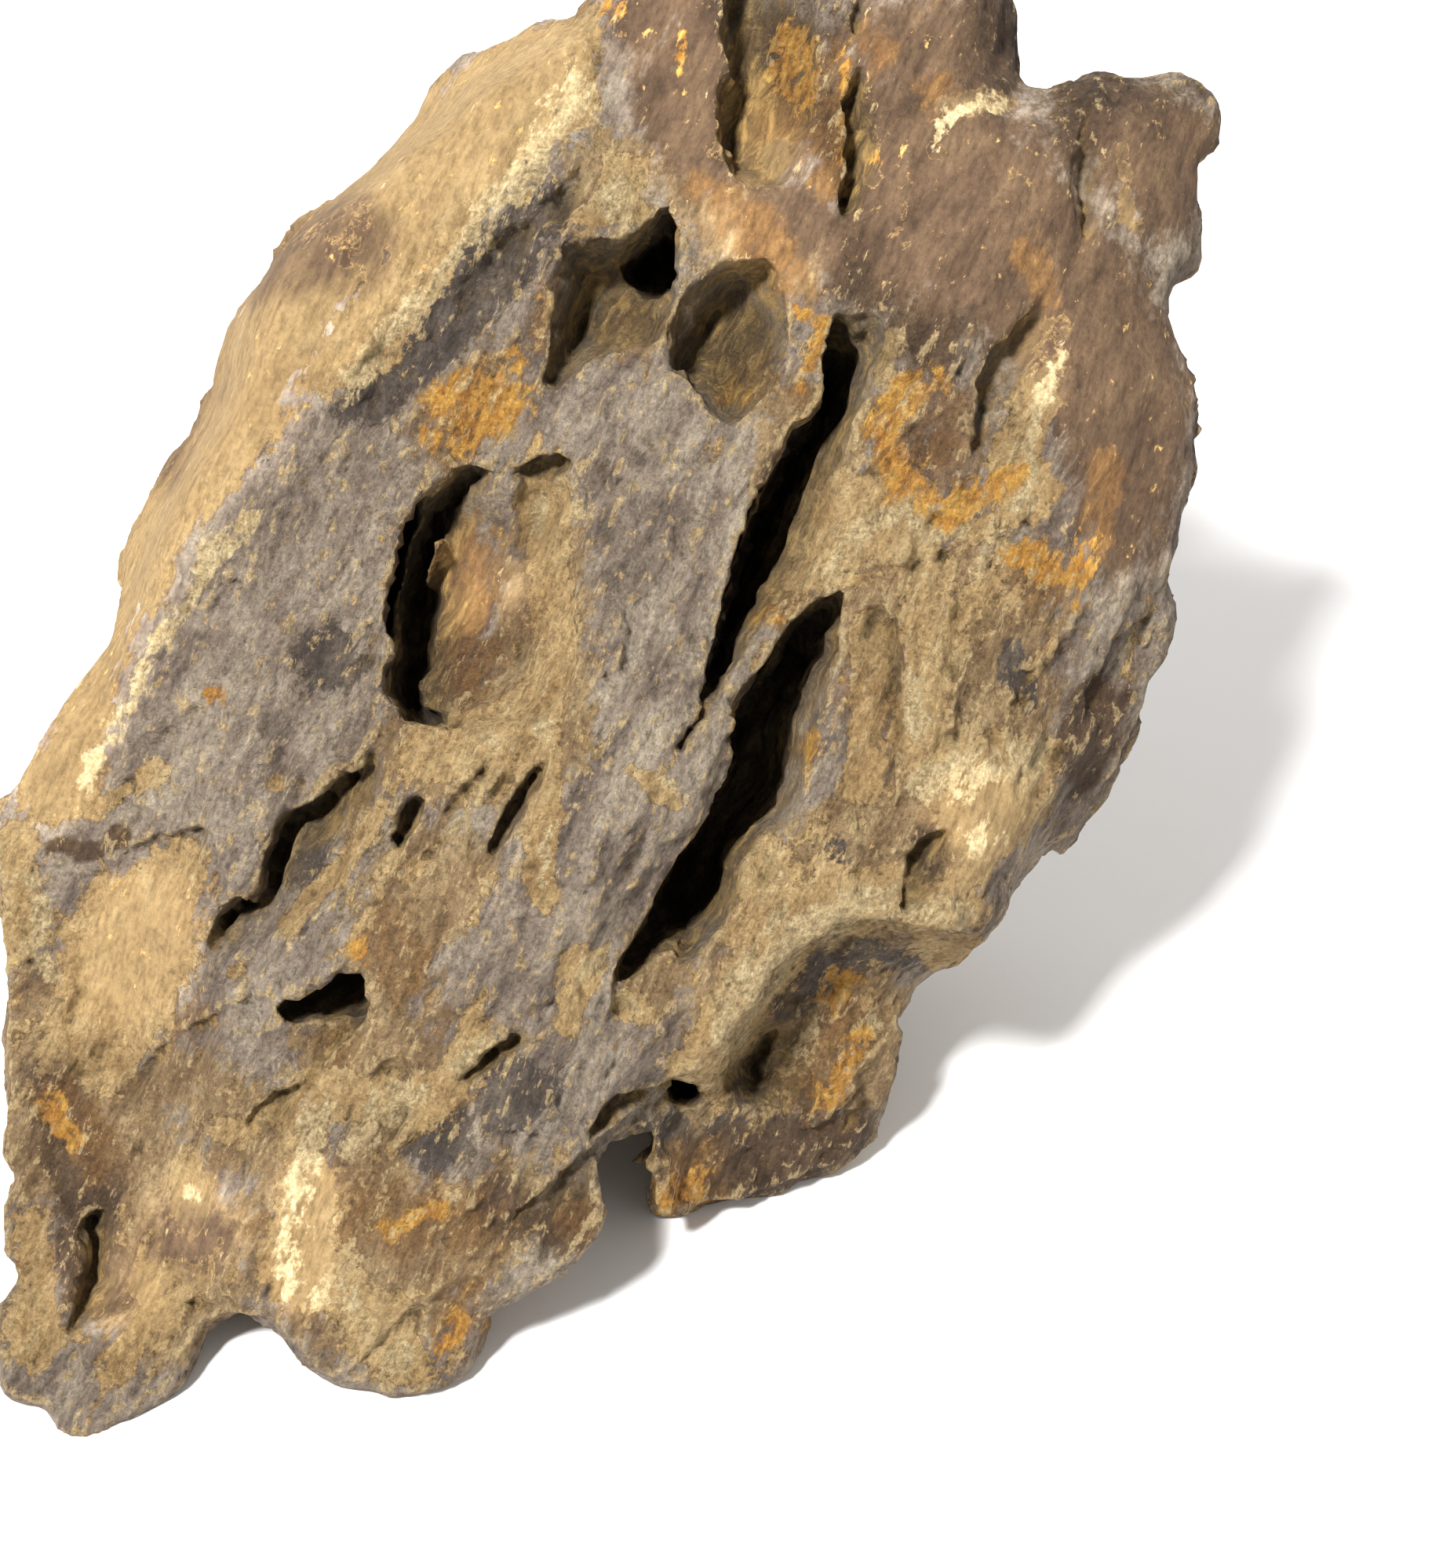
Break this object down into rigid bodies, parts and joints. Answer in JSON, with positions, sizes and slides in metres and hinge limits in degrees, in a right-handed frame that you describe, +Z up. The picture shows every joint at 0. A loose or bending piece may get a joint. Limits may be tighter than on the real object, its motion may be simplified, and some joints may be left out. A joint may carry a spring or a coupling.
{
  "type": "aquarium dragon stone",
  "caption": "Leaning natural rock for an aquarium: a broad pitted and layered face with deep slanting crevices, a rough hollowed back and a cut-flat underside that it stands on.",
  "frame": {"origin": "the point on the ground under the middle of the stone's bounding box", "axes": "+Z up, +X to the viewer's right when the broad face is seen from in front, +Y towards the back"},
  "size_m": [0.2546, 0.2114, 0.2414],
  "materials": {
    "stone": "matt, grainy clay stone: grey-brown plates, sand-coloured edges and rust-orange patches"
  },
  "bodies": {
    "root": {"dragon_stone": "stone"}
  },
  "joints": []
}
